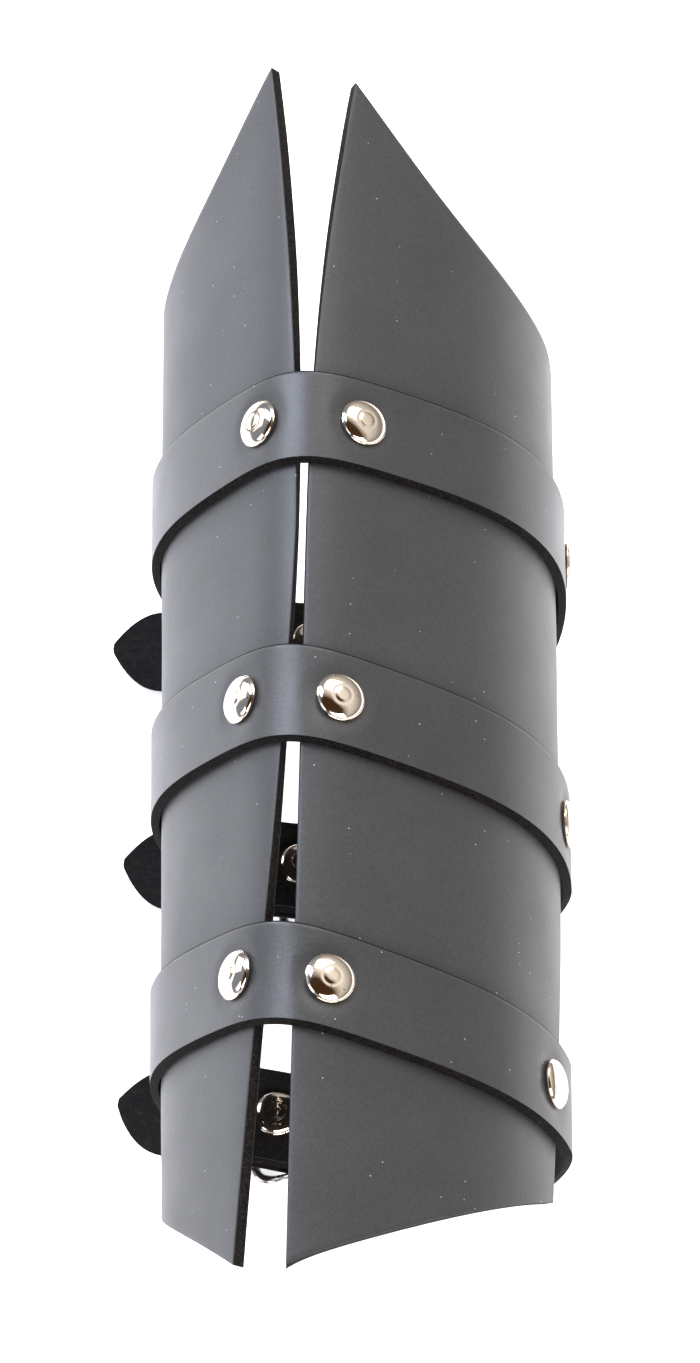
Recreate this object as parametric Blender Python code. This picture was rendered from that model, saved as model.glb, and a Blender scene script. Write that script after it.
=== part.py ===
"""Black leather gauntlet: two curved plates held side by side by three buckled straps.

The gauntlet lies on its back on a table, as it does by itself: buckles and strap tails down,
the gap between the two plates up. +Y runs along the arm to the elbow, +X to the right and +Z up.

Every leather piece follows one form, a soft ridged oval whose sections stand along the arm. A place
on it is a pair: the arc from the ridge, positive to the right, and the place along the arm.
"""

import math

import bmesh
import bpy
from mathutils import Matrix, Vector

# The form that the leather is bent to, in metres where it is a length
LENGTH = 0.256  # along the arm, from the lowest wrist point to the highest elbow tip
FORM_RADIUS = 0.0438  # mean radius of the plates' outer face, half way along the arm
FORM_TAPER = 0.0125  # growth of the radius toward the elbow, per length
RIDGE_HEIGHT = 0.30  # ridge above the plain oval, as a share of the radius
RIDGE_SOFTNESS = 0.16  # rounding of the ridge, in radians
RIDGE_SPREAD = 0.248  # how far the ridge reaches down the flanks, in radians
OVAL = 0.106  # depth over width
EGG = -0.034  # fuller at the back
RIDGE_TURN = math.radians(-14.0)  # the ridge lies a little to the left
RIDGE_TWIST = math.radians(8.7)  # and turns upright toward the elbow, over the whole length
AXIS_RISE = 0.07  # the elbow end stands higher off the table, per length
AXIS_HEIGHT = 1.0046  # height of the axis over the table, as a share of the radius
AXIS_DRIFT = -0.0175  # sideways lean of the axis, per length

# Leather
PLATE_THICKNESS = 0.0024
STRAP_THICKNESS = 0.0018
STRAP_WIDTH = 0.019
FOLD_THICKNESS = 0.0013  # the strap is pared thin where it folds round the buckle's bar
LEATHER_GAP = 0.0004  # between two leather faces that lie on each other
TAUT = 0.45  # how soon a strap turns inward past the plates' back edges: the smaller, the sooner

# Outline of a plate, laid flat
PLATE_WIDTH = 0.0845  # from the front edge to the back edge, half way along the arm
PLATE_TAPER = 0.185  # growth of that width toward the elbow, per length
WAIST = 0.59  # where the two plates come closest, as a share of the length
ELBOW_FLARE = 0.0080  # how far a front edge swings away from the ridge at the elbow

# Nickel rivets
CAP_RADIUS = 0.0048
CAP_HEIGHT = 0.0019
CAP_RIM = 0.0005
BACK_HEIGHT = 0.0012  # the cap on the other end of the post is flatter
POST_RADIUS = 0.0015
POST_CLEARANCE = 0.0003  # round the post, in its hole
CAP_GAP = 0.00015  # between a cap and the leather under it
RIVET_INSET = 0.0085  # from a plate's back edge to the side rivets
RIVET_SIDES = 10
HOLE_SIDES = 8

# Nickel buckles
WIRE = 0.0024  # diameter of the frame's wire
EYE = 0.0125  # from the centre bar to each end bar
FRAME_CLEARANCE = 0.0006  # between the strap's edge and the frame
FRAME_CORNER = 0.0030  # radius of the frame's corners, at the middle of the wire
TONGUE = 0.0016  # diameter of the tongue's wire
PART_GAP = 0.0003  # between metal and leather, and between metal and metal
FOLD_RIVET = 0.0098  # from the centre bar to the rivet through the fold
FLAP = 0.0155  # length of the folded end
TONGUE_SLOT = 0.0030
HOLE_RADIUS = 0.0016
HOLE_PITCH = 0.0127
HOLES_PAST_TONGUE = 2  # punched toward the tip
HOLES_BEFORE_TONGUE = 2
HOLE_STRETCH = 0.0056  # length of the hole that the tongue has pulled long
TIP_TAPER = 0.0110  # length of the pointed end
TIP_BLUNT = 0.09  # width left at the very tip, as a share of the strap's

# One row for each plate. Sides are -1 left and +1 right. Width is a share of the plate's width, and the
# flares and the waist are shares of the elbow flare.
PLATES = (
    dict(name="plate_left", side=-1, width=1.06, flare=1.22, waist=0.05, wrist_flare=1.45),
    dict(name="plate_right", side=1, width=1.00, flare=1.10, waist=0.16, wrist_flare=-0.02),
)

# The ends of each plate, all as shares of the length: its elbow tip, how far the edge drops from it to
# the straight part of the shoulder, how far across that is, its wrist point and how far that edge rises
# to the back corner. A bend over 1 hollows the wrist edge.
ENDS = dict(
    plate_left=dict(tip=1.003, drop=0.120, run=0.218, point=0.012, rise=0.134, bend=1.0),
    plate_right=dict(tip=0.980, drop=0.135, run=0.238, point=0.0, rise=0.107, bend=1.0),
)

# One row for each strap. The station is a share of the length. Skew and lay are how much the strap drops
# to the right, round the form and at the back. Rear is how far its back is pulled toward the elbow, as a
# share of the strap's width.
STRAPS = (
    dict(name="elbow", station=0.673, skew=0.04, lay=0.065, rear=-0.05),
    dict(name="middle", station=0.442, skew=0.13, lay=0.115, rear=0.26),
    dict(name="wrist", station=0.2195, skew=0.18, lay=0.185, rear=0.22),
)

# For each strap, the arcs of its front rivets from the ridge, and the places of the buckle's bar and of
# the tip across the arm, all as shares of the form's radius.
FITTINGS = dict(
    elbow=dict(rivet_left=-0.19, rivet_right=0.27, bar=-0.05, tip=-1.26),
    middle=dict(rivet_left=-0.255, rivet_right=0.195, bar=-0.09, tip=-1.17),
    wrist=dict(rivet_left=-0.235, rivet_right=0.18, bar=-0.19, tip=-1.155),
)

# Worked out from the sizes above
WRIST_END = -0.512 * LENGTH  # the lowest wrist point, measured from the middle of the form
RUN_PAST_RIVET = RIVET_INSET + 0.0025  # the straps follow the form until just past the plates' back edges
STRAP_LEAN = AXIS_RISE  # a strap lies square to the form's axis
STRAP_MIDDLE = LEATHER_GAP + STRAP_THICKNESS / 2  # height of a strap's middle over the plates
RING_RADIUS = WIRE / 2 + LEATHER_GAP + TONGUE  # outside of the tongue's loop round the bar
FOLD_RADIUS = WIRE / 2 + LEATHER_GAP + FOLD_THICKNESS / 2
TAIL_ON_TABLE = STRAP_THICKNESS / 2
TAIL_OVER_LEFT_BAR = WIRE + PART_GAP + STRAP_THICKNESS / 2
RIGHT_BAR = TONGUE + PART_GAP + WIRE / 2
TAIL_OVER_RIGHT_BAR = RIGHT_BAR + WIRE / 2 + PART_GAP + STRAP_THICKNESS / 2
TAIL_UNDER_CENTRE = TAIL_OVER_LEFT_BAR - 0.25 * STRAP_THICKNESS
CENTRE_BAR = TAIL_UNDER_CENTRE + STRAP_THICKNESS / 2 + PART_GAP + RING_RADIUS
FOLD_CAP_UNDER = TAIL_OVER_LEFT_BAR + STRAP_THICKNESS / 2 + PART_GAP  # the fold rivet's lower cap
FLAP_AT_RIVET = FOLD_CAP_UNDER + BACK_HEIGHT + CAP_GAP + FOLD_THICKNESS / 2
FLAT_AT_RIVET = CAP_RADIUS + PART_GAP  # to each side of the rivet through the fold
STRAP_AT_RIVET = FLAP_AT_RIVET + FOLD_THICKNESS / 2 + LEATHER_GAP + STRAP_THICKNESS / 2


# The form

def form_radius(along):
    return FORM_RADIUS + FORM_TAPER * along


def form_point(angle, along, lift=0.0):
    """Point at an angle from the ridge and a place along the arm, lifted off the plates' outer face."""
    def bare(turned):
        fall = (math.hypot(turned, RIDGE_SOFTNESS) - RIDGE_SOFTNESS) / RIDGE_SPREAD
        swell = RIDGE_HEIGHT * math.exp(-fall) + OVAL * math.cos(2 * turned) + EGG * math.cos(3 * turned)
        reach = form_radius(along) * (1 + swell)
        world = turned + RIDGE_TURN + RIDGE_TWIST * along / LENGTH
        return Vector((reach * math.sin(world), 0, reach * math.cos(world)))

    centre = Vector((AXIS_DRIFT * along, along, AXIS_HEIGHT * FORM_RADIUS + AXIS_RISE * along))
    nearby = 0.002
    slope = bare(angle + nearby) - bare(angle - nearby)
    outward = Vector((-slope.z, 0, slope.x)).normalized()
    return centre + bare(angle) + lift * outward


def form_speed(angle, along):
    """Arc length per radian."""
    nearby = 0.002
    return (form_point(angle + nearby, along) - form_point(angle - nearby, along)).length / (2 * nearby)


def angle_at(arc, along):
    """Angle from the ridge at an arc length from it."""
    steps = max(4, math.ceil(abs(arc) / 0.0025))
    angle = 0.0
    for _ in range(steps):
        half = angle + arc / steps / form_speed(angle, along) / 2
        angle += arc / steps / form_speed(half, along)
    return angle


# Meshes

def new_object(name, mesh_builder, material, smooth=True):
    """Object with the finished bmesh as its mesh, its material and its sharp edges kept."""
    mesh = bpy.data.meshes.new(name)
    mesh_builder.to_mesh(mesh)
    mesh_builder.free()
    thing = bpy.data.objects.new(name, mesh)
    bpy.context.scene.collection.objects.link(thing)
    if material:
        mesh.materials.append(material)
    if smooth:
        mesh.shade_smooth()
        mesh.set_sharp_from_angle(angle=math.radians(40))
    return thing


def principled(name, colour, roughness, metallic):
    material = bpy.data.materials.new(name)
    material.use_nodes = True
    shader = material.node_tree.nodes["Principled BSDF"]
    shader.inputs["Base Color"].default_value = (*colour, 1)
    shader.inputs["Roughness"].default_value = roughness
    shader.inputs["Metallic"].default_value = metallic
    material.diffuse_color = (*colour, 1)
    return material


def face_outward(mesh_builder, faces):
    """Turns the faces of one closed body round if they enclose a negative volume."""
    volume = 0.0
    for face in faces:
        first, *others = [vert.co for vert in face.verts]
        for second, third in zip(others, others[1:]):
            volume += first.dot(second.cross(third))
    if volume < 0:
        bmesh.ops.reverse_faces(mesh_builder, faces=faces)


def skin(mesh_builder, rings, loop=False):
    """Faces between closed rings of points, with end faces unless the rings close on themselves."""
    rows = [[mesh_builder.verts.new(point) for point in ring] for ring in rings]
    faces = []
    pairs = list(zip(rows, rows[1:]))
    if loop:
        pairs.append((rows[-1], rows[0]))
    for row, following in pairs:
        for i in range(len(row)):
            j = (i + 1) % len(row)
            faces.append(mesh_builder.faces.new((row[i], row[j], following[j], following[i])))
    if not loop:
        faces.append(mesh_builder.faces.new(list(reversed(rows[0]))))
        faces.append(mesh_builder.faces.new(rows[-1]))
    face_outward(mesh_builder, faces)


def tube(mesh_builder, path, radius, sides, loop=False, up=Vector((0, 0, 1))):
    """Round wire along a path. A list of radii tapers it."""
    radii = radius if isinstance(radius, list) else [radius] * len(path)
    rings = []
    for i, point in enumerate(path):
        before = path[i - 1] if loop or i else point
        after = path[(i + 1) % len(path)] if loop or i < len(path) - 1 else point
        ahead = (after - before).normalized()
        across = ahead.cross(up).normalized()
        over = across.cross(ahead)
        turns = [2 * math.pi * (k + 0.5) / sides for k in range(sides)]
        rings.append([point + radii[i] * (math.cos(a) * across + math.sin(a) * over) for a in turns])
    skin(mesh_builder, rings, loop)


def cylinder(mesh_builder, centre, along, radius, depth, sides, stretch=Vector()):
    """Closed cylinder with its middle at centre. Stretch pulls its two halves apart, for an oblong hole."""
    turn = along.to_track_quat("Z", "Y").to_matrix().to_4x4()
    rings = []
    for height in (-depth / 2, depth / 2):
        ring = []
        for k in range(sides):
            around = 2 * math.pi * (k + 0.5) / sides
            spoke = turn @ Vector((radius * math.cos(around), radius * math.sin(around), height))
            side = math.copysign(0.5, spoke.dot(stretch)) if stretch.length else 0
            ring.append(centre + spoke + side * stretch)
        rings.append(ring)
    skin(mesh_builder, rings)


def cut(thing, cutter_builder):
    """Cuts the closed shapes of one bmesh out of an object."""
    cutter = new_object(thing.name + "_cutter", cutter_builder, None, smooth=False)
    cutter.hide_render = True
    cutter.display_type = "WIRE"
    boolean = thing.modifiers.new("holes", "BOOLEAN")
    boolean.operation = "DIFFERENCE"
    boolean.object = cutter


# Plates

def front_edge(plate, along):
    """Arc from the ridge to a plate's front edge, without its side."""
    waist = WRIST_END + WAIST * LENGTH
    if along > waist:
        share = (along - waist) / (WRIST_END + LENGTH - waist)
        return ELBOW_FLARE * (plate["waist"] + plate["flare"] * share**2.1)
    share = (waist - along) / (waist - WRIST_END)
    return ELBOW_FLARE * (plate["waist"] + plate["wrist_flare"] * share**1.6)


def back_edge(plate, along):
    """Arc from the ridge to a plate's back edge, without its side."""
    return ELBOW_FLARE * plate["waist"] + plate["width"] * PLATE_WIDTH + PLATE_TAPER * along


def elbow_edge(plate, across):
    """Place along the arm of the elbow edge, at a distance from the front edge."""
    ends = ENDS[plate["name"]]
    share = min(across / (ends["run"] * LENGTH), 1)
    return WRIST_END + (ends["tip"] - ends["drop"] * math.sin(share * math.pi / 2)) * LENGTH


def wrist_edge(plate, share):
    """Place along the arm of the wrist edge, at a share of the way from the front edge to the back."""
    ends = ENDS[plate["name"]]
    return WRIST_END + (ends["point"] + ends["rise"] * share ** ends["bend"]) * LENGTH


def make_plate(plate, leather):
    """Bent sheet: a grid from wrist to elbow and from the front edge to the back, closer at the ridge."""
    columns, rows = 22, 15
    mesh_builder = bmesh.new()
    faces = {}
    for lift in (0.0, -PLATE_THICKNESS):
        for column in range(columns):
            share = (column / (columns - 1)) ** 1.45
            low = wrist_edge(plate, share)
            high = WRIST_END + LENGTH
            for _ in range(3):
                high = elbow_edge(plate, share * (back_edge(plate, high) - front_edge(plate, high)))
            for row in range(rows):
                along = low + (high - low) * row / (rows - 1)
                front = front_edge(plate, along)
                arc = plate["side"] * (front + share * (back_edge(plate, along) - front))
                point = form_point(angle_at(arc, along), along, lift)
                faces[lift, column, row] = mesh_builder.verts.new(point)
    for lift in (0.0, -PLATE_THICKNESS):
        for column in range(columns - 1):
            for row in range(rows - 1):
                corners = ((column, row), (column + 1, row), (column + 1, row + 1), (column, row + 1))
                mesh_builder.faces.new([faces[lift, c, r] for c, r in corners])
    rim = [(column, 0) for column in range(columns)]
    rim += [(columns - 1, row) for row in range(1, rows)]
    rim += [(column, rows - 1) for column in range(columns - 2, -1, -1)]
    rim += [(0, row) for row in range(rows - 2, 0, -1)]
    for (c, r), (d, s) in zip(rim, rim[1:] + rim[:1]):
        ends = ((0.0, c, r), (0.0, d, s), (-PLATE_THICKNESS, d, s), (-PLATE_THICKNESS, c, r))
        mesh_builder.faces.new([faces[end] for end in ends])
    bmesh.ops.recalc_face_normals(mesh_builder, faces=mesh_builder.faces)
    return new_object(plate["name"], mesh_builder, leather)


# Straps

class Strap:
    """One strap's places: where it runs round the form, and where its buckle lies at the back."""

    def __init__(self, row):
        self.row = row
        self.fittings = FITTINGS[row["name"]]
        self.station = WRIST_END + row["station"] * LENGTH
        self.crest = form_point(0, self.station, STRAP_MIDDLE)
        self.bar = Vector((self.fittings["bar"] * FORM_RADIUS, 0, CENTRE_BAR))
        self.bar.y = self.along(self.bar) + row["rear"] * STRAP_WIDTH
        lay = math.atan(row["lay"])
        self.ahead = Vector((math.cos(lay), -math.sin(lay), 0))
        self.across = Vector((math.sin(lay), math.cos(lay), 0))

    def along(self, point):
        """Place along the arm of the strap's middle line. The whole loop lies in one slanting plane."""
        skewed = self.row["skew"] * (self.crest.x - point.x)
        return self.station + skewed + STRAP_LEAN * (self.crest.z - point.z)

    def middle(self, angle, lift=STRAP_MIDDLE):
        """Point on the middle line where the strap follows the form."""
        along = self.station
        for _ in range(4):
            along = self.along(form_point(angle, along, lift))
        return form_point(angle, along, lift)

    def pair(self, angle):
        """The two edge points there, square to the strap's own run."""
        nearby = 0.01
        run = self.middle(angle + nearby) - self.middle(angle - nearby)
        arc = math.hypot(run.x, run.z)
        slant = math.atan2(-run.y, arc)
        here = self.middle(angle)
        edges = []
        for half in (-STRAP_WIDTH / 2, STRAP_WIDTH / 2):
            shifted = angle + half * math.sin(slant) / form_speed(angle, here.y)
            edges.append(form_point(shifted, here.y + half * math.cos(slant), STRAP_MIDDLE))
        return edges

    def at_back(self, reach, height, width=1.0):
        """The two edge points at the back: reach is measured to the right from the centre bar."""
        middle = self.bar + reach * self.ahead
        middle.z = height
        half = width * STRAP_WIDTH / 2 * self.across
        return [middle - half, middle + half]

    def tail_height(self, reach):
        """Height of the tail's middle: on the table, over the end bars and under the centre bar."""
        rests = (
            (-EYE * 2, TAIL_ON_TABLE),
            (-EYE, TAIL_OVER_LEFT_BAR),
            (0.0, TAIL_UNDER_CENTRE),
            (EYE, TAIL_OVER_RIGHT_BAR),
            (EYE * 2, TAIL_ON_TABLE),
        )
        if reach <= rests[0][0] or reach >= rests[-1][0]:
            return TAIL_ON_TABLE
        for (start, low), (end, high) in zip(rests, rests[1:]):
            if reach <= end:
                share = (reach - start) / (end - start)
                return low + (high - low) * share * share * (3 - 2 * share)

    def tip_reach(self):
        return (self.fittings["tip"] * FORM_RADIUS - self.bar.x) / self.ahead.x


def ease(start, leave, end, arrive, steps):
    """Points strictly between two edge pairs, on a smooth curve. Leave and arrive are its directions there,
    as shares of the distance between the pairs: a short one turns the strap sooner."""
    found = []
    for i in range(1, steps):
        t = i / steps
        pair = []
        for a, b in zip(start, end):
            chord = (b - a).length
            pair.append(
                (1 + 2 * t) * (1 - t) ** 2 * a
                + t * (1 - t) ** 2 * chord * leave
                + t * t * (3 - 2 * t) * b
                + t * t * (t - 1) * chord * arrive
            )
        found.append(pair)
    return found


def strap_stations(strap):
    """Edge pairs and thicknesses from the folded end, round the bar, over the form and on to the tip."""
    stations = []

    # The folded end lies under the strap, and goes round the right of the bar onto its top
    for reach in (-FLAP, FLAT_AT_RIVET - FOLD_RIVET):
        stations.append((strap.at_back(reach, FLAP_AT_RIVET), FOLD_THICKNESS))
    for i in range(9):
        around = math.pi * i / 8 - math.pi / 2
        height = CENTRE_BAR + FOLD_RADIUS * math.sin(around)
        stations.append((strap.at_back(FOLD_RADIUS * math.cos(around), height), FOLD_THICKNESS))
    for reach in (FLAT_AT_RIVET - FOLD_RIVET, -FOLD_RIVET - FLAT_AT_RIVET):
        stations.append((strap.at_back(reach, STRAP_AT_RIVET), STRAP_THICKNESS))

    # Up the left side, over the ridge and down the right side
    ends = []
    for plate in PLATES:
        arc = side_rivet_arc(plate, strap) + plate["side"] * RUN_PAST_RIVET
        ends.append(angle_at(arc, strap.station))
    runs = 36
    pairs = []
    for i in range(runs + 1):
        t = 2 * i / runs - 1
        pairs.append(strap.pair(abs(ends[t > 0]) * (0.6 * t + 0.4 * t**3)))
    arrive = (pairs[1][0] - pairs[0][0]).normalized()
    for pair in ease(stations[-1][0], -strap.ahead, pairs[0], TAUT * arrive, 7):
        stations.append((pair, STRAP_THICKNESS))
    stations += [(pair, STRAP_THICKNESS) for pair in pairs]

    # Down onto the table, through the buckle and out to the tip
    leave = (pairs[-1][0] - pairs[-2][0]).normalized()
    for pair in ease(pairs[-1], TAUT * leave, strap.at_back(2 * EYE, TAIL_ON_TABLE), -strap.ahead, 8):
        stations.append((pair, STRAP_THICKNESS))
    tip = strap.tip_reach()
    for reach in [EYE * quarter / 4 for quarter in range(8, -9, -1)] + [tip + TIP_TAPER]:
        stations.append((strap.at_back(reach, strap.tail_height(reach)), STRAP_THICKNESS))
    for i in range(1, 7):
        share = math.sin(math.pi / 2 * i / 6)
        width = max(TIP_BLUNT, 1 - share**2.2)
        reach = tip + TIP_TAPER * (1 - share)
        stations.append((strap.at_back(reach, strap.tail_height(reach), width), STRAP_THICKNESS))
    return stations


def make_strap(strap, leather):
    stations = strap_stations(strap)
    middles = [(pair[0] + pair[1]) / 2 for pair, _ in stations]
    rings = []
    for i, (pair, thickness) in enumerate(stations):
        before, after = middles[max(i - 1, 0)], middles[min(i + 1, len(middles) - 1)]
        outward = (pair[1] - pair[0]).cross(after - before).normalized() * thickness / 2
        rings.append([pair[0] - outward, pair[1] - outward, pair[1] + outward, pair[0] + outward])
    mesh_builder = bmesh.new()
    skin(mesh_builder, rings)
    return new_object("strap_" + strap.row["name"], mesh_builder, leather)


# Rivets

def make_rivet(name, place, outward, through, below, above, metal):
    """Two domed caps on one post. Place is on the outer face, and through the leather's whole depth there.
    Below and above are how far the inner and the outer cap stand off, so that a flat cap clears a bend."""
    def cap(height):
        profile = []
        for i in range(3):
            around = math.pi / 2 * i / 3
            profile.append((CAP_RADIUS * math.sin(around), CAP_RIM + (height - CAP_RIM) * math.cos(around)))
        return profile + [(CAP_RADIUS, CAP_RIM), (CAP_RADIUS, 0.0), (POST_RADIUS, 0.0)]

    outer = [(radius, above + height) for radius, height in cap(CAP_HEIGHT)]
    inner = [(radius, -through - below - height) for radius, height in reversed(cap(BACK_HEIGHT))]
    mesh_builder = bmesh.new()
    turn = outward.to_track_quat("Z", "Y").to_matrix()
    rings = []
    for radius, height in outer[1:] + inner[:-1]:
        ring = []
        for k in range(RIVET_SIDES):
            around = 2 * math.pi * k / RIVET_SIDES
            ring.append(mesh_builder.verts.new(
                place + turn @ Vector((radius * math.cos(around), radius * math.sin(around), height))
            ))
        rings.append(ring)
    for ring, following in zip(rings, rings[1:]):
        for i in range(RIVET_SIDES):
            j = (i + 1) % RIVET_SIDES
            mesh_builder.faces.new((ring[i], ring[j], following[j], following[i]))
    for ring, pole in ((rings[0], outer[0]), (rings[-1], inner[-1])):
        top = mesh_builder.verts.new(place + turn @ Vector((0, 0, pole[1])))
        for i in range(RIVET_SIDES):
            mesh_builder.faces.new((ring[i], ring[(i + 1) % RIVET_SIDES], top))
    bmesh.ops.recalc_face_normals(mesh_builder, faces=mesh_builder.faces)
    return new_object(name, mesh_builder, metal)


def form_rivet(strap, arc):
    """Place, direction and stand-offs of a rivet through a strap and the plate under it."""
    angle = angle_at(arc, strap.station)
    top = 2 * STRAP_MIDDLE - LEATHER_GAP
    place = strap.middle(angle, top)
    nearby = 0.02
    run = strap.middle(angle + nearby, top) - strap.middle(angle - nearby, top)
    rise = form_point(angle, place.y + CAP_RADIUS, top) - form_point(angle, place.y - CAP_RADIUS, top)
    outward = run.cross(rise).normalized()
    bottom = -PLATE_THICKNESS
    through = top - bottom
    above = below = 0.0
    steps = [step / 5 for step in range(-8, 9)]
    for share, along in ((share, along) for share in steps for along in steps):
        turned = angle + share * CAP_RADIUS / form_speed(angle, place.y)
        for lift, floor in ((top, 0.0), (bottom, -through)):
            offset = form_point(turned, place.y + along * CAP_RADIUS, lift) - place
            height = offset.dot(outward)
            if (offset - height * outward).length > 1.05 * CAP_RADIUS:
                continue
            if lift == top:
                above = max(above, height)
            else:
                below = max(below, floor - height)
    return place, outward, through, below + CAP_GAP, above + CAP_GAP


# Buckles

def frame_height(reach):
    """The frame is arched: its end bars lie under the tail and its centre bar over it."""
    left, right = WIRE / 2, RIGHT_BAR
    flat = left + (right - left) * (reach + EYE) / (2 * EYE)
    share = min(1, abs(reach) / (EYE - FRAME_CORNER))
    return flat + (CENTRE_BAR - (left + right) / 2) * (1 + math.cos(math.pi * share)) / 2


def make_buckle(strap, metal):
    """Rounded rectangle of wire with a bar across its middle."""
    half = STRAP_WIDTH / 2 + FRAME_CLEARANCE + WIRE / 2
    outline = []
    for turn, (along, across) in enumerate(((1, 1), (-1, 1), (-1, -1), (1, -1))):
        centre = (along * (EYE - FRAME_CORNER), across * (half - FRAME_CORNER))
        for i in range(4):
            around = math.pi / 2 * (turn + i / 3)
            outline.append((
                centre[0] + FRAME_CORNER * math.cos(around),
                centre[1] + FRAME_CORNER * math.sin(around),
            ))
        if across == along:
            arm = EYE - FRAME_CORNER
            outline += [(arm * along * (1 - step / 3), across * half) for step in range(1, 6)]
    path = []
    for reach, across in outline:
        point = strap.bar + reach * strap.ahead + across * strap.across
        point.z = frame_height(max(-EYE, min(EYE, reach)))
        path.append(point)
    frame_builder = bmesh.new()
    tube(frame_builder, path, WIRE / 2, 6, loop=True)
    frame = new_object("buckle_" + strap.row["name"], frame_builder, metal)
    bar_builder = bmesh.new()
    cylinder(bar_builder, strap.bar, strap.across, 0.96 * WIRE / 2, 2 * half, 6)
    bar = new_object(frame.name + "_bar", bar_builder, metal)
    bar.hide_render = True
    bar.display_type = "WIRE"
    join = frame.modifiers.new("centre bar", "BOOLEAN")
    join.operation = "UNION"
    join.object = bar
    return frame


def tongue_path(strap):
    """Round the centre bar, down through the tail's hole and under the right end bar."""
    ring = RING_RADIUS - TONGUE / 2
    places = []
    for i in range(11):
        around = math.radians(-20 + 300 * i / 10)
        places.append((ring * math.cos(around), CENTRE_BAR + ring * math.sin(around)))
    places.reverse()
    low = TONGUE / 2
    places += [(0.34 * EYE, 0.68 * CENTRE_BAR), (0.62 * EYE, 0.34 * CENTRE_BAR), (0.84 * EYE, 1.35 * low)]
    places += [(EYE, low), (EYE + 0.8 * WIRE, low)]
    path = []
    for reach, height in places:
        point = strap.bar + reach * strap.ahead
        point.z = height
        path.append(point)
    return path


def make_tongue(strap, metal):
    path = tongue_path(strap)
    radii = [TONGUE / 2] * (len(path) - 1) + [0.6 * TONGUE / 2]
    mesh_builder = bmesh.new()
    tube(mesh_builder, path, radii, 6, up=strap.across)
    return new_object("tongue_" + strap.row["name"], mesh_builder, metal)


# The whole gauntlet

def clear_scene():
    for thing in list(bpy.data.objects):
        bpy.data.objects.remove(thing, do_unlink=True)


def side_rivet_arc(plate, strap):
    """The side rivets keep their distance from the plate's back edge."""
    arc = plate["side"] * back_edge(plate, strap.station)
    for _ in range(3):
        along = strap.middle(angle_at(arc, strap.station)).y
        arc = plate["side"] * (back_edge(plate, along) - RIVET_INSET)
    return arc


def tongue_slot(holes, strap):
    """Slot through the fold, which lets the tongue turn on the centre bar."""
    left, right = -1.5 * FOLD_RADIUS, FOLD_RADIUS + 0.6 * FOLD_THICKNESS
    low = CENTRE_BAR - FOLD_RADIUS - 0.6 * FOLD_THICKNESS
    high = CENTRE_BAR + FOLD_RADIUS + 1.5 * FOLD_THICKNESS
    rings = []
    for across in (-TONGUE_SLOT / 2, TONGUE_SLOT / 2):
        ring = []
        for reach, height in ((left, low), (right, low), (right, high), (left, high)):
            corner = strap.bar + reach * strap.ahead + across * strap.across
            corner.z = height
            ring.append(corner)
        rings.append(ring)
    skin(holes, rings)


def tail_holes(holes, strap):
    """Round holes along the tail, and the one that the tongue has pulled long."""
    tongue_hole = 0.59 * EYE
    depth = 1.7 * STRAP_THICKNESS
    for step in range(-HOLES_PAST_TONGUE, HOLES_BEFORE_TONGUE + 1):
        reach = tongue_hole + step * HOLE_PITCH
        middle = strap.bar + reach * strap.ahead
        middle.z = strap.tail_height(reach)
        stretch = HOLE_STRETCH * strap.ahead if step == 0 else Vector()
        if abs(reach) > RING_RADIUS + HOLE_RADIUS or step == 0:
            cylinder(holes, middle, Vector((0, 0, 1)), HOLE_RADIUS, depth, HOLE_SIDES, stretch)


def stand_on_origin(pieces):
    """Moves every mesh, cutters too, so that the gauntlet stands over the origin."""
    places = [vert.co for piece in pieces for vert in piece.data.vertices]
    low = [min(place[i] for place in places) for i in range(3)]
    high = [max(place[i] for place in places) for i in range(3)]
    shift = Vector((-(low[0] + high[0]) / 2, -(low[1] + high[1]) / 2, -low[2]))
    for thing in bpy.data.objects:
        thing.data.transform(Matrix.Translation(shift))


def build():
    clear_scene()
    leather = principled("black veg-tanned leather", (0.016, 0.016, 0.018), 0.52, 0.0)
    nickel = principled("nickel-plated steel", (0.62, 0.58, 0.53), 0.16, 1.0)
    plates = {plate["name"]: make_plate(plate, leather) for plate in PLATES}
    plate_holes = {name: bmesh.new() for name in plates}
    hole_radius = POST_RADIUS + POST_CLEARANCE
    pieces = list(plates.values())
    for row in STRAPS:
        strap = Strap(row)
        piece = make_strap(strap, leather)
        holes = bmesh.new()
        for plate in PLATES:
            side = "left" if plate["side"] < 0 else "right"
            front = strap.fittings["rivet_" + side] * FORM_RADIUS
            for where, arc in (("front", front), ("side", side_rivet_arc(plate, strap))):
                place, outward, through, below, above = form_rivet(strap, arc)
                name = f"rivet_{row['name']}_{where}_{side}"
                pieces.append(make_rivet(name, place, outward, through, below, above, nickel))
                middle = place - outward * through / 2
                for cutter in (holes, plate_holes[plate["name"]]):
                    cylinder(cutter, middle, outward, hole_radius, 2 * through, HOLE_SIDES)
        fold = strap.bar - FOLD_RIVET * strap.ahead
        fold.z = STRAP_AT_RIVET + STRAP_THICKNESS / 2
        through = fold.z - FLAP_AT_RIVET + FOLD_THICKNESS / 2
        up = Vector((0, 0, 1))
        name = f"rivet_{row['name']}_fold"
        pieces.append(make_rivet(name, fold, up, through, CAP_GAP, CAP_GAP, nickel))
        cylinder(holes, fold - up * through / 2, up, hole_radius, 1.4 * through, HOLE_SIDES)
        tongue_slot(holes, strap)
        tail_holes(holes, strap)
        cut(piece, holes)
        pieces += [piece, make_buckle(strap, nickel), make_tongue(strap, nickel)]
    for name, holes in plate_holes.items():
        cut(plates[name], holes)
    stand_on_origin(pieces)


build()
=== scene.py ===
"""Black leather forearm gauntlet, lying on its back on a white table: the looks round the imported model."""

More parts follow.
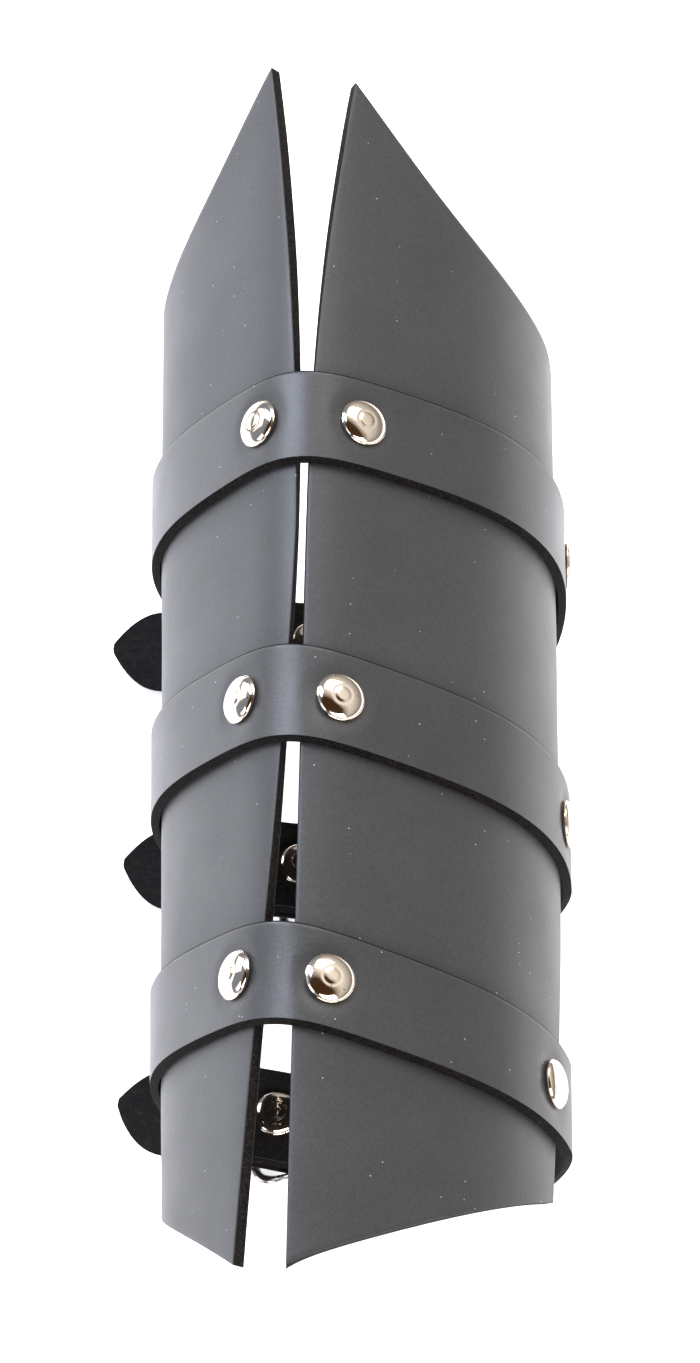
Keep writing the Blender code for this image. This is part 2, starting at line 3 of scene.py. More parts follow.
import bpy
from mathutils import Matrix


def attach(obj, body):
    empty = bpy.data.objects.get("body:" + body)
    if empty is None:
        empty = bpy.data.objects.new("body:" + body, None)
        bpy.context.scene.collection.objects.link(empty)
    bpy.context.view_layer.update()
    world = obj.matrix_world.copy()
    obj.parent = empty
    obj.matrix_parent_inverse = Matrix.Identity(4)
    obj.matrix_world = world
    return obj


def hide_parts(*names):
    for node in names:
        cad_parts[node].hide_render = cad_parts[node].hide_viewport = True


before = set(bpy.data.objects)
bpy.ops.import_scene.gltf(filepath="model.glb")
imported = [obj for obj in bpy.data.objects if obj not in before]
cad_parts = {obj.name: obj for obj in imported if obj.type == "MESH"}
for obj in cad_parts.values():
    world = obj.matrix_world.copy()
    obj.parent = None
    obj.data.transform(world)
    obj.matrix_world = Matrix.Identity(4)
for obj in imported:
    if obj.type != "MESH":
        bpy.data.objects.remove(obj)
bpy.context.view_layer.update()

import math

import bmesh
import bpy
import numpy as np
from mathutils import Matrix, Vector


# Studio
# A white table that glows faintly (painted light) under soft boxes, with a cool strip light at the upper
# left. The camera stands over the wrist end and looks down along the arm. The room behind it is brown and
# dim, which the caps mirror.

AIM = Vector((0.00243, 0.01968, 0.04519))
CAMERA_DISTANCE = 0.9676
CAMERA_LENS = 124.5
CAMERA_TILT = math.radians(30)  # away from straight down
CAMERA_ROLL = math.radians(0.578)

toward_camera = Vector((0, -math.sin(CAMERA_TILT), math.cos(CAMERA_TILT)))
bpy.ops.object.camera_add()
camera = bpy.context.object
camera.name = "camera"
camera.data.lens = CAMERA_LENS
camera.data.sensor_width = 36
turn = Matrix.Rotation(CAMERA_TILT, 4, "X") @ Matrix.Rotation(CAMERA_ROLL, 4, "Z")
camera.matrix_world = Matrix.Translation(AIM + CAMERA_DISTANCE * toward_camera) @ turn
bpy.context.scene.camera = camera
bpy.context.scene.view_settings.view_transform = "Standard"


def linear(colour):
    """Linear RGBA of an sRGB hex colour."""
    channels = [int(colour[i:i + 2], 16) / 255 for i in (0, 2, 4)]
    return (*(c / 12.92 if c <= 0.04045 else ((c + 0.055) / 1.055) ** 2.4 for c in channels), 1)


def add(tree, kind, links=None, **settings):
    """Adds a node: settings are its own values, or a socket's value where the name is a socket's."""
    made = tree.nodes.new(kind)
    for name, value in settings.items():
        if hasattr(made, name):
            setattr(made, name, value)
        else:
            made.inputs[name.replace("_", " ")].default_value = value
    for socket, source in (links or {}).items():
        tree.links.new(source, made.inputs[socket])
    return made


def new_material(name):
    """Empty material, its node tree and its output node."""
    material = bpy.data.materials.new(name)
    material.use_nodes = True
    material.node_tree.nodes.clear()
    return material, material.node_tree, material.node_tree.nodes.new("ShaderNodeOutputMaterial")


def deselect():
    for thing in bpy.context.selected_objects:
        thing.select_set(False)


# White table made to glow from its own surface: painted light, so that it shows no shadow in the gap or
# round the leather
deselect()
bpy.ops.mesh.primitive_plane_add(size=6)
table = bpy.context.object
table.name = "table"
material, tree, output = new_material("white glowing table")
places = add(tree, "ShaderNodeTexCoord")
haze = add(tree, "ShaderNodeTexNoise", {"Vector": places.outputs["Object"]}, Scale=9.0)
tint = add(tree, "ShaderNodeMix", {"Factor": haze.outputs["Fac"]}, data_type="RGBA")
tint.inputs["A"].default_value = linear("f6f6f7")
tint.inputs["B"].default_value = linear("fafafa")
shader = add(tree, "ShaderNodeBsdfPrincipled", {"Base Color": tint.outputs["Result"]},
             Roughness=0.6, Emission_Strength=0.75)
shader.inputs["Emission Color"].default_value = linear("f7f8ff")
tree.links.new(shader.outputs["BSDF"], output.inputs["Surface"])
table.data.materials.append(material)

# Each light's place and size in metres, its power in watts and its colour
for name, place, sizes, power, colour in (
    ("soft box in front", (0.5, -1.35, 0.95), (1.5, 0.9), 31, "fff8f2"),
    ("strip light upper left", (-0.60, 0.50, 0.90), (0.36, 0.9), 18, "e2ebfb"),
    ("soft box at the left", (-1.10, -0.75, 0.60), (0.8, 0.6), 4, "e8eefa"),
    ("white card at the left", (-1.30, 0.75, 0.55), (0.9, 0.7), 3.5, "fffaf2"),
    ("soft box above", (0.25, 0.80, 1.10), (0.8, 0.6), 9, "f6ece2"),
):
    bpy.ops.object.light_add(type="AREA", location=place)
    light = bpy.context.object
    light.name = name
    light.data.shape = "RECTANGLE"
    light.data.size, light.data.size_y = sizes
    light.data.energy = power
    light.data.color = linear(colour)[:3]
    light.rotation_euler = (AIM - Vector(place)).to_track_quat("-Z", "Y").to_euler()

# The room: brighter overhead than at eye level, bluish at the left, brown round the camera
room = bpy.context.scene.world or bpy.data.worlds.new("room")
bpy.context.scene.world = room
room.use_nodes = True
tree = room.node_tree
tree.nodes.clear()
ways = add(tree, "ShaderNodeTexCoord").outputs["Generated"]
parts = add(tree, "ShaderNodeSeparateXYZ", {"Vector": ways})
level = add(tree, "ShaderNodeMapRange", {"Value": parts.outputs["Z"]},
            From_Min=0.2, From_Max=0.85, To_Min=0.33, To_Max=1.15)
dim = add(tree, "ShaderNodeVectorMath", {"Scale": level.outputs["Result"]}, operation="SCALE")
dim.inputs[0].default_value = linear("fdfaf7")[:3]
side = add(tree, "ShaderNodeMapRange", {"Value": parts.outputs["X"]}, From_Min=-0.45, From_Max=0.15)
walls = add(tree, "ShaderNodeMix", {"Factor": side.outputs["Result"], "B": dim.outputs["Vector"]},
            data_type="RGBA")
walls.inputs["A"].default_value = linear("8990a0")
facing = add(tree, "ShaderNodeVectorMath", {0: ways}, operation="DOT_PRODUCT")
facing.inputs[1].default_value = toward_camera
behind = add(tree, "ShaderNodeMapRange", {"Value": facing.outputs["Value"]}, From_Min=0.58, From_Max=0.80)
colours = add(tree, "ShaderNodeMix", {"Factor": behind.outputs["Result"], "A": walls.outputs["Result"]},
              data_type="RGBA")
colours.inputs["B"].default_value = linear("45301f")
sky = add(tree, "ShaderNodeBackground", {"Color": colours.outputs["Result"]}, Strength=1.0)
add(tree, "ShaderNodeOutputWorld", {"Surface": sky.outputs["Background"]})


# Plates
# Two curved plates of 2.4 mm veg-tanned cowhide, dyed black right through the grain. Each is cut out
# flat, wetted and bent over a last, which leaves a soft ridge beside the gap and slight waves.

FORM_RADIUS = 0.0438
FORM_TAPER = 0.0125  # growth of the radius along the arm
RIDGE_HEIGHT = 0.30  # shares of the radius
OVAL = 0.106
EGG = -0.034
RIDGE_SOFTNESS = 0.16  # radians
RIDGE_SPREAD = 0.248
RIDGE_TURN = math.radians(-14.0)
RIDGE_TWIST = math.radians(8.7)  # over the whole length
LENGTH = 0.256
AXIS_RISE = 0.07  # slopes of the last's axis
AXIS_DRIFT = -0.0175
AXIS_HEIGHT = 1.0046 * FORM_RADIUS
STAND = np.array((0.006297, 0.002688, 0.0))  # from the last's own middle to the middle of the table
PLATE_THICKNESS = 0.0024
PLATE_WIDTH = 0.0845
PLATE_TAPER = 0.185  # growth of the width along the arm
WRIST_END = -0.512 * LENGTH
WAIST = WRIST_END + 0.59 * LENGTH
FLARE = 0.0080  # scale of each plate's half of the gap
CUT_ROUNDING = 0.00014  # the cut edges are hardly slicked
WAVE_HEIGHT = 0.00016
COLUMNS, ROWS = 104, 176  # of a plate's mesh

# Slant is how far the grain side is cut back at the gap: all along, and besides in the elbow half
PLATES = (
    dict(name="plate_left", side=-1, width=1.06, flare=1.22, waist=0.05, wrist_flare=1.45,
         tip=1.003, drop=0.120, run=0.218, point=0.012, rise=0.134, slant=(0.0, 0.0007)),
    dict(name="plate_right", side=1, width=1.00, flare=1.10, waist=0.16, wrist_flare=-0.02,
         tip=0.980, drop=0.135, run=0.238, point=0.0, rise=0.107, slant=(0.0005, 0.0)),
)


def section(angle, along):
    """The last's outline, from its axis, at angles from the ridge and places along the arm."""
    fall = (np.hypot(angle, RIDGE_SOFTNESS) - RIDGE_SOFTNESS) / RIDGE_SPREAD
    swell = RIDGE_HEIGHT * np.exp(-fall) + OVAL * np.cos(2 * angle) + EGG * np.cos(3 * angle)
    reach = (FORM_RADIUS + FORM_TAPER * along) * (1 + swell)
    world = angle + RIDGE_TURN + RIDGE_TWIST * along / LENGTH
    return np.stack((reach * np.sin(world), np.zeros_like(reach), reach * np.cos(world)), -1)


def on_last(angle, along, lift=0.0):
    """Points on the last, lifted off it."""
    angle, along, lift = np.broadcast_arrays(np.asarray(angle, float), along, lift)
    slope = section(angle + 0.002, along) - section(angle - 0.002, along)
    outward = np.stack((-slope[..., 2], np.zeros_like(along), slope[..., 0]), -1)
    outward /= np.linalg.norm(outward, axis=-1, keepdims=True)
    axis = np.stack((AXIS_DRIFT * along, along, AXIS_HEIGHT + AXIS_RISE * along), -1)
    return axis + section(angle, along) + lift[..., None] * outward


def speed(angle, along):
    """Arc length per radian."""
    return np.linalg.norm(on_last(angle + 0.002, along) - on_last(angle - 0.002, along), axis=-1) / 0.004


def angle_at(arc, along):
    """Angle from the ridge at an arc length from it."""
    arc, along = np.broadcast_arrays(np.asarray(arc, float), along)
    angle = np.zeros(arc.shape)
    for _ in range(48):
        half = angle + arc / 96 / speed(angle, along)
        angle = angle + arc / 48 / speed(half, along)
    return angle


def front_edge(plate, along):
    """Arc from the ridge to a plate's edge at the gap."""
    above = np.clip((along - WAIST) / (WRIST_END + LENGTH - WAIST), 0, None)
    below = np.clip((WAIST - along) / (WAIST - WRIST_END), 0, None)
    return FLARE * (plate["waist"] + plate["flare"] * above**2.1 + plate["wrist_flare"] * below**1.6)


def back_edge(plate, along):
    return FLARE * plate["waist"] + plate["width"] * PLATE_WIDTH + PLATE_TAPER * along


def waves(arc, along):
    """Slight unevenness that wet bending leaves, under half a millimetre."""
    long = np.sin(61 * arc + 23 * along + 0.8) * np.sin(37 * along - 14 * arc + 2.1)
    short = np.sin(150 * arc - 90 * along + 1.7) * np.sin(118 * along + 40 * arc + 0.3)
    return WAVE_HEIGHT * (long + 0.3125 * short)


def sheet_object(name, places, flip):
    """A grid of faces over places in rows and columns, and the row and column of each of its points."""
    deselect()
    rows, columns = places.shape[0] - 1, places.shape[1] - 1
    bpy.ops.mesh.primitive_grid_add(x_subdivisions=columns, y_subdivisions=rows, size=1)
    piece = bpy.context.object
    piece.name = name
    flat = np.empty(len(piece.data.vertices) * 3)
    piece.data.vertices.foreach_get("co", flat)
    flat = flat.reshape(-1, 3) + 0.5
    order = np.rint(flat[:, 1] * rows).astype(int), np.rint(flat[:, 0] * columns).astype(int)
    piece.data.vertices.foreach_set("co", places[order].ravel())
    piece.data.update()
    if flip:
        bpy.ops.object.mode_set(mode="EDIT")
        bpy.ops.mesh.select_all(action="SELECT")
        bpy.ops.mesh.flip_normals()
        bpy.ops.object.mode_set(mode="OBJECT")
    return piece, order


def apply_modifiers(piece):
    bpy.context.view_layer.objects.active = piece
    for modifier in list(piece.modifiers):
        bpy.ops.object.modifier_apply(modifier=modifier.name)


def grain_leather(name, dark, light, roughness, grain):
    """Smooth grain side of veg-tanned hide, dyed and rubbed with resist: a close, shallow pebble, faint
    clouds in the dye, and specks of dust that cling to it. Grain is the depth of the pebble in metres.
    Real pores are 0.2 mm apart, and are drawn three times as coarse so that they show."""
    material, tree, output = new_material(name)
    places = add(tree, "ShaderNodeTexCoord").outputs["Object"]
    clouds = add(tree, "ShaderNodeTexNoise", {"Vector": places}, Scale=1 / 0.016, Detail=5.0, Roughness=0.6)
    pores = add(tree, "ShaderNodeTexNoise", {"Vector": places}, Scale=1 / 0.0007, Detail=3.0, Roughness=0.7)
    blend = add(tree, "ShaderNodeMix", {"Factor": clouds.outputs["Fac"]}, data_type="RGBA")
    blend.inputs["A"].default_value = linear(dark)
    blend.inputs["B"].default_value = linear(light)
    shade = add(tree, "ShaderNodeMapRange", {"Value": pores.outputs["Fac"]},
                From_Min=0.3, From_Max=0.7, To_Min=0.78, To_Max=1.26)
    body = add(tree, "ShaderNodeVectorMath", {0: blend.outputs["Result"], "Scale": shade.outputs["Result"]},
               operation="SCALE")

    # Dust: one speck of a quarter of a millimetre in some cells of a 2 mm network
    cells = add(tree, "ShaderNodeTexVoronoi", {"Vector": places}, Scale=1 / 0.0022, Randomness=1.0)
    near = add(tree, "ShaderNodeMath", {0: cells.outputs["Distance"]}, operation="LESS_THAN")
    near.inputs[1].default_value = 0.055
    picked = add(tree, "ShaderNodeSeparateColor", {"Color": cells.outputs["Color"]})
    some = add(tree, "ShaderNodeMath", {0: picked.outputs["Red"]}, operation="LESS_THAN")
    some.inputs[1].default_value = 0.28
    speck = add(tree, "ShaderNodeMath", {0: near.outputs[0], 1: some.outputs[0]}, operation="MULTIPLY")
    dusty = add(tree, "ShaderNodeMix", {"Factor": speck.outputs[0], "A": body.outputs["Vector"]},
                data_type="RGBA")
    dusty.inputs["B"].default_value = linear("b9bcc4")

    pebble = add(tree, "ShaderNodeTexVoronoi", {"Vector": places}, feature="SMOOTH_F1", Scale=1 / 0.0006)
    height = add(tree, "ShaderNodeMath", {0: pebble.outputs["Distance"], 1: pores.outputs["Fac"]},
                 operation="ADD")
    bump = add(tree, "ShaderNodeBump", {"Height": height.outputs[0]}, Strength=1.0, Distance=grain)
    gloss = add(tree, "ShaderNodeMapRange", {"Value": clouds.outputs["Fac"]},
                From_Min=0.3, From_Max=0.7, To_Min=roughness - 0.05, To_Max=roughness + 0.05)
    shader = add(tree, "ShaderNodeBsdfPrincipled", {
        "Base Color": dusty.outputs["Result"],
        "Roughness": gloss.outputs["Result"],
        "Normal": bump.outputs["Normal"],
    }, IOR=1.5, Sheen_Weight=0.13, Sheen_Roughness=0.45)
    tree.links.new(shader.outputs["BSDF"], output.inputs["Surface"])
    return material


def fibre_leather(name, dark, light, size, depth, roughness):
    """Bare fibre, without the grain: matte and mottled. The fibres trap light, so the IOR is low."""
    material, tree, output = new_material(name)
    places = add(tree, "ShaderNodeTexCoord").outputs["Object"]
    fibres = add(tree, "ShaderNodeTexNoise", {"Vector": places}, Scale=1 / size, Detail=4.0, Roughness=0.75)
    colours = add(tree, "ShaderNodeValToRGB", {"Fac": fibres.outputs["Fac"]})
    colours.color_ramp.elements[0].position = 0.46
    colours.color_ramp.elements[0].color = linear(dark)
    colours.color_ramp.elements[1].position = 0.80
    colours.color_ramp.elements[1].color = linear(light)
    bump = add(tree, "ShaderNodeBump", {"Height": fibres.outputs["Fac"]}, Strength=1.0, Distance=depth)
    shader = add(tree, "ShaderNodeBsdfPrincipled", {
        "Base Color": colours.outputs["Color"],
        "Normal": bump.outputs["Normal"],
    }, Roughness=roughness, IOR=1.25)
    tree.links.new(shader.outputs["BSDF"], output.inputs["Surface"])
    return material


# Flesh side: black dye soaked into open fibres of about a millimetre
flesh_side = fibre_leather("flesh side of black hide", "151415", "2b2725", 0.0012, 0.00018, 0.92)

# Cut edge: knife-cut fibres of half a millimetre, where the dye shows brown
cut_edge = fibre_leather("knife-cut hide edge", "0d0c0c", "3e3733", 0.0005, 0.00012, 0.9)

# The corner of the cut, rubbed smooth, and darker than the grain: painted shade that tones down the line of
# light its rounding catches
slicked_corner_painted_shade = grain_leather("slicked hide corner, painted shade", "1b1c1d", "292a2b", 0.55, 0.00002)

# Grain side of the plates: a flat black with a matte resist finish
plate_grain = grain_leather("veg-tanned plate hide", "292a2c", "333436", 0.5, 0.00002)

GRAIN, FLESH, CUT, CORNER = range(4)  # each leather piece's material slots
hide = (plate_grain, flesh_side, cut_edge, slicked_corner_painted_shade)

for plate in PLATES:
    share = np.linspace(0, 1, COLUMNS + 1)[None, :]
    low = WRIST_END + (plate["point"] + plate["rise"] * share) * LENGTH
    high = np.full_like(low, WRIST_END + LENGTH)
    for _ in range(3):
        across = share * (back_edge(plate, high) - front_edge(plate, high)) / (plate["run"] * LENGTH)
        drop = plate["drop"] * np.sin(np.minimum(across, 1) * math.pi / 2)
        high = WRIST_END + (plate["tip"] - drop) * LENGTH
    along = low + (high - low) * np.linspace(0, 1, ROWS + 1)[:, None]
    front = front_edge(plate, along)
    sides = []
    askew = plate["slant"][0] * np.minimum(1, 0.1 + (high - along) / 0.02)
    askew = askew + plate["slant"][1] * np.sin(math.pi * np.clip((along - WAIST) / (high - WAIST), 0, 1))
    for lift, slant in ((0.0, askew), (-PLATE_THICKNESS, 0.0)):
        edge = front + slant
        arc = plate["side"] * (edge + share * (back_edge(plate, along) - edge))
        sides.append(on_last(angle_at(arc, along), along, lift + waves(arc, along)) + STAND)
    piece, order = sheet_object(plate["name"] + "_hide", sides[0], plate["side"] < 0)
    for material in hide:
        piece.data.materials.append(material)
    wall = piece.modifiers.new("hide thickness", "SOLIDIFY")
    wall.thickness = PLATE_THICKNESS
    wall.offset = -1
    wall.material_offset = FLESH
    wall.material_offset_rim = CUT
    apply_modifiers(piece)
    piece.data.vertices.foreach_set("co", np.concatenate([side[order] for side in sides]).ravel())
    corner = piece.modifiers.new("slicked corner", "BEVEL")
    corner.width = CUT_ROUNDING
    corner.segments = 2
    corner.limit_method = "ANGLE"
    corner.angle_limit = math.radians(50)
    # The rounded corner takes the darker corner material: painted shade
    corner.material = CORNER
    apply_modifiers(piece)
    piece.data.shade_smooth()
    piece.data.set_sharp_from_angle(angle=math.radians(50))
    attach(piece, "root")
    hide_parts(plate["name"])


# Straps
# Three 19 mm straps of 1.8 mm harness leather, riveted across both plates. Each is folded round its
# buckle's bar at the back, comes back round the left side and over the ridge, and ends in a punched tail.

STRAP_THICKNESS = 0.0018
STRAP_WIDTH = 0.019
STRAP_SLANT = 0.0006  # how far the flesh side reaches past the grain side at the lower edge
FOLD_THICKNESS = 0.0013  # pared thin where it folds
LEATHER_GAP = 0.0004
TAUT = 0.45  # how straight the straps run from the plates to the table
RIVET_INSET = 0.0085
RUN_PAST_RIVET = RIVET_INSET + 0.0025
STRAP_MIDDLE = LEATHER_GAP + STRAP_THICKNESS / 2
WIRE = 0.0024
EYE = 0.0125
TONGUE = 0.0016
PART_GAP = 0.0003
CAP_RADIUS = 0.0048
BACK_HEIGHT = 0.0012
CAP_GAP = 0.00015
DIMPLE_DEPTH = 0.00032
DIMPLE_REACH = 0.0017
RIVET_REACH = 0.0045  # from the outer cap's top, through all that it joins
FOLD_RIVET = 0.0098
FLAP = 0.0155
TIP_TAPER = 0.0110
TIP_BLUNT = 0.07
TONGUE_SLOT = 0.0030
TONGUE_HOLE = 0.59 * EYE
HOLE_RADIUS = 0.0016
HOLE_PITCH = 0.0127
HOLE_STRETCH = 0.0056  # the tongue has pulled its hole long
RING_RADIUS = WIRE / 2 + LEATHER_GAP + TONGUE
FOLD_RADIUS = WIRE / 2 + LEATHER_GAP + FOLD_THICKNESS / 2
TAIL_ON_TABLE = STRAP_THICKNESS / 2
TAIL_OVER_LEFT_BAR = WIRE + PART_GAP + STRAP_THICKNESS / 2
RIGHT_BAR = TONGUE + PART_GAP + WIRE / 2
TAIL_OVER_RIGHT_BAR = RIGHT_BAR + WIRE / 2 + PART_GAP + STRAP_THICKNESS / 2
TAIL_UNDER_CENTRE = TAIL_OVER_LEFT_BAR - 0.25 * STRAP_THICKNESS
CENTRE_BAR = TAIL_UNDER_CENTRE + STRAP_THICKNESS / 2 + PART_GAP + RING_RADIUS
FOLD_CAP_UNDER = TAIL_OVER_LEFT_BAR + STRAP_THICKNESS / 2 + PART_GAP
FLAP_AT_RIVET = FOLD_CAP_UNDER + BACK_HEIGHT + CAP_GAP + FOLD_THICKNESS / 2
FLAT_AT_RIVET = CAP_RADIUS + PART_GAP
STRAP_AT_RIVET = FLAP_AT_RIVET + FOLD_THICKNESS / 2 + LEATHER_GAP + STRAP_THICKNESS / 2

STRAPS = (
    dict(name="elbow", station=0.673, skew=0.04, lay=0.065, rear=-0.05, bar=-0.05, tip=-1.26),
    dict(name="middle", station=0.442, skew=0.13, lay=0.115, rear=0.26, bar=-0.09, tip=-1.17),
    dict(name="wrist", station=0.2195, skew=0.18, lay=0.185, rear=0.22, bar=-0.19, tip=-1.155),
)


def place_along(strap, points):
    """Place along the arm of the strap's middle line: the whole loop lies in one slanting plane."""
    skewed = strap["skew"] * (strap["crest"][0] - points[..., 0])
    return strap["station"] + skewed + AXIS_RISE * (strap["crest"][2] - points[..., 2])


def middle_line(strap, angle):
    along = np.full(np.shape(angle), strap["station"])
    for _ in range(4):
        along = place_along(strap, on_last(angle, along, STRAP_MIDDLE))
    return on_last(angle, along, STRAP_MIDDLE)


def edge_pairs(strap, angle):
    """The strap's two edge points at angles where it follows the last, square to its own run."""
    run = middle_line(strap, angle + 0.01) - middle_line(strap, angle - 0.01)
    slant = np.arctan2(-run[..., 1], np.hypot(run[..., 0], run[..., 2]))
    along = middle_line(strap, angle)[..., 1]
    edges = []
    for half in (-STRAP_WIDTH / 2, STRAP_WIDTH / 2):
        shifted = angle + half * np.sin(slant) / speed(angle, along)
        edges.append(on_last(shifted, along + half * np.cos(slant), STRAP_MIDDLE))
    return np.stack(edges, 1)


def at_back(strap, reach, height, width=1.0):
    """Edge points at the back: reach is measured to the right from the buckle's centre bar."""
    reach, height, width = np.broadcast_arrays(np.asarray(reach, float), height, width)
    middle = strap["bar_at"] + reach[:, None] * strap["ahead"]
    middle[:, 2] = height
    half = width[:, None] * STRAP_WIDTH / 2 * strap["across"]
    return np.stack((middle - half, middle + half), 1)


def tail_height(reach):
    """The tail lies on the table, goes over the end bars and dips under the centre bar."""
    rests = (-2 * EYE, -EYE, 0, EYE, 2 * EYE)
    heights = (TAIL_ON_TABLE, TAIL_OVER_LEFT_BAR, TAIL_UNDER_CENTRE, TAIL_OVER_RIGHT_BAR, TAIL_ON_TABLE)
    span = np.clip(np.searchsorted(rests, reach) - 1, 0, 3)
    share = np.clip((reach - np.take(rests, span)) / EYE, 0, 1)
    low, high = np.take(heights, span), np.take(heights, span + 1)
    return low + (high - low) * share**2 * (3 - 2 * share)


def ease(start, leave, end, arrive, steps):
    """Edge pairs on a smooth curve between two pairs, which leaves and arrives in these directions."""
    t = np.linspace(0, 1, steps + 1)[1:-1, None, None]
    chord = np.linalg.norm(end - start, axis=-1)[None, :, None]
    return ((1 + 2 * t) * (1 - t) ** 2 * start + t * (1 - t) ** 2 * chord * leave
            + t**2 * (3 - 2 * t) * end + t**2 * (t - 1) * chord * arrive)


def strap_course(strap):
    """Edge pairs and thicknesses from the folded end, round the bar, over the ridge and on to the tip."""
    flap = np.linspace(-FLAP, FLAT_AT_RIVET - FOLD_RIVET, 12)
    around = np.linspace(-math.pi / 2, math.pi / 2, 19)
    under = np.linspace(FLAT_AT_RIVET - FOLD_RIVET, 0, 6)[1:-1]
    share = (under - under[0] + 0.001) / (0.001 - under[0])
    ramp = share**2 * (3 - 2 * share)
    top = np.linspace(FLAT_AT_RIVET - FOLD_RIVET, -FOLD_RIVET - FLAT_AT_RIVET, 13)
    rise = (CENTRE_BAR - FOLD_RADIUS - FLAP_AT_RIVET) * ramp
    fall = (CENTRE_BAR + FOLD_RADIUS - STRAP_AT_RIVET) * ramp[::-1]
    parts = [
        at_back(strap, flap, FLAP_AT_RIVET),
        at_back(strap, under, FLAP_AT_RIVET + rise),
        at_back(strap, FOLD_RADIUS * np.cos(around), CENTRE_BAR + FOLD_RADIUS * np.sin(around)),
        at_back(strap, under[::-1], STRAP_AT_RIVET + fall),
        at_back(strap, top, STRAP_AT_RIVET),
    ]
    folded = sum(len(part) for part in parts[:3])

    ends = []
    for plate in PLATES:
        arc = plate["side"] * back_edge(plate, strap["station"])
        for _ in range(3):
            along = middle_line(strap, angle_at(arc, strap["station"]))[..., 1]
            arc = plate["side"] * (back_edge(plate, along) - RIVET_INSET)
        ends.append(float(angle_at(arc + plate["side"] * RUN_PAST_RIVET, strap["station"])))
    over = edge_pairs(strap, np.linspace(ends[0], ends[1], 250))
    arrive = (over[1, 0] - over[0, 0]) / np.linalg.norm(over[1, 0] - over[0, 0])
    leave = (over[-1, 0] - over[-2, 0]) / np.linalg.norm(over[-1, 0] - over[-2, 0])
    parts.append(ease(parts[-1][-1], -strap["ahead"], over[0], TAUT * arrive, 50))
    parts.append(over)
    table_end = at_back(strap, [2 * EYE], TAIL_ON_TABLE)[0]
    parts.append(ease(over[-1], TAUT * leave, table_end, -strap["ahead"], 50))
    tip = (strap["tip"] * FORM_RADIUS - strap["bar_at"][0]) / strap["ahead"][0]
    tail = np.linspace(2 * EYE, tip + TIP_TAPER, 90)
    parts.append(at_back(strap, tail, tail_height(tail)))
    share = np.sin(np.linspace(0, math.pi / 2, 15)[1:])
    reach = tip + TIP_TAPER * (1 - share)
    parts.append(at_back(strap, reach, tail_height(reach), TIP_BLUNT + (1 - TIP_BLUNT) * (1 - share**2.2)))
    pairs = np.concatenate(parts)
    thickness = np.full(len(pairs), STRAP_THICKNESS)
    thickness[:folded] = FOLD_THICKNESS
    for _ in range(3):
        thickness[1:-1] = (thickness[:-2] + thickness[1:-1] + thickness[2:]) / 3
    return pairs, thickness


def punch(piece, strap, reach, height, width, depth, stretch):
    """Cuts a hole through the strap at the back, pulled long by stretch."""
    place = strap["bar_at"] + STAND + reach * strap["ahead"]
    place[2] = height
    deselect()
    bpy.ops.mesh.primitive_cylinder_add(vertices=28, radius=width / 2, depth=depth)
    tool = bpy.context.object
    for vert in tool.data.vertices:
        along, across, up = vert.co
        along += math.copysign(stretch / 2, along)
        vert.co = place + along * strap["ahead"] + across * strap["across"] + Vector((0, 0, up))
    for material in piece.data.materials:
        tool.data.materials.append(material)
    tool.data.polygons.foreach_set("material_index", [CUT] * len(tool.data.polygons))
    hole = piece.modifiers.new("hole", "BOOLEAN")
    hole.object = tool
    apply_modifiers(piece)
    bpy.data.objects.remove(tool)


def rivet_poles(node):
    """The tops of a rivet's outer and inner cap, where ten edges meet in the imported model's mesh."""
    shell = bmesh.new()
    shell.from_mesh(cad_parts[node].data)
    bmesh.ops.remove_doubles(shell, verts=shell.verts, dist=1e-6)
    poles = [np.array(vert.co) for vert in shell.verts if len(vert.link_edges) >= 10]
    shell.free()
    middle = np.array((0, 0, AXIS_HEIGHT))
    poles.sort(key=lambda pole: -np.linalg.norm((pole - middle)[[0, 2]]))
    if node.endswith("_fold"):
        poles.sort(key=lambda pole: -pole[2])
    return poles[0], poles[-1]


# Grain side of the straps: the same hide, rubbed a little glossier
strap_grain = grain_leather("veg-tanned strap hide", "28292b", "323335", 0.42, 0.00002)

# Cut edge of the straps: the same fibres, painted nearly black. The dark fibre colour carries painted shade:
# the shadow along the strap's lower edge
strap_cut_painted_shade = fibre_leather("knife-cut strap edge, painted shade", "030303", "2e2a26", 0.0005, 0.00012, 0.9)

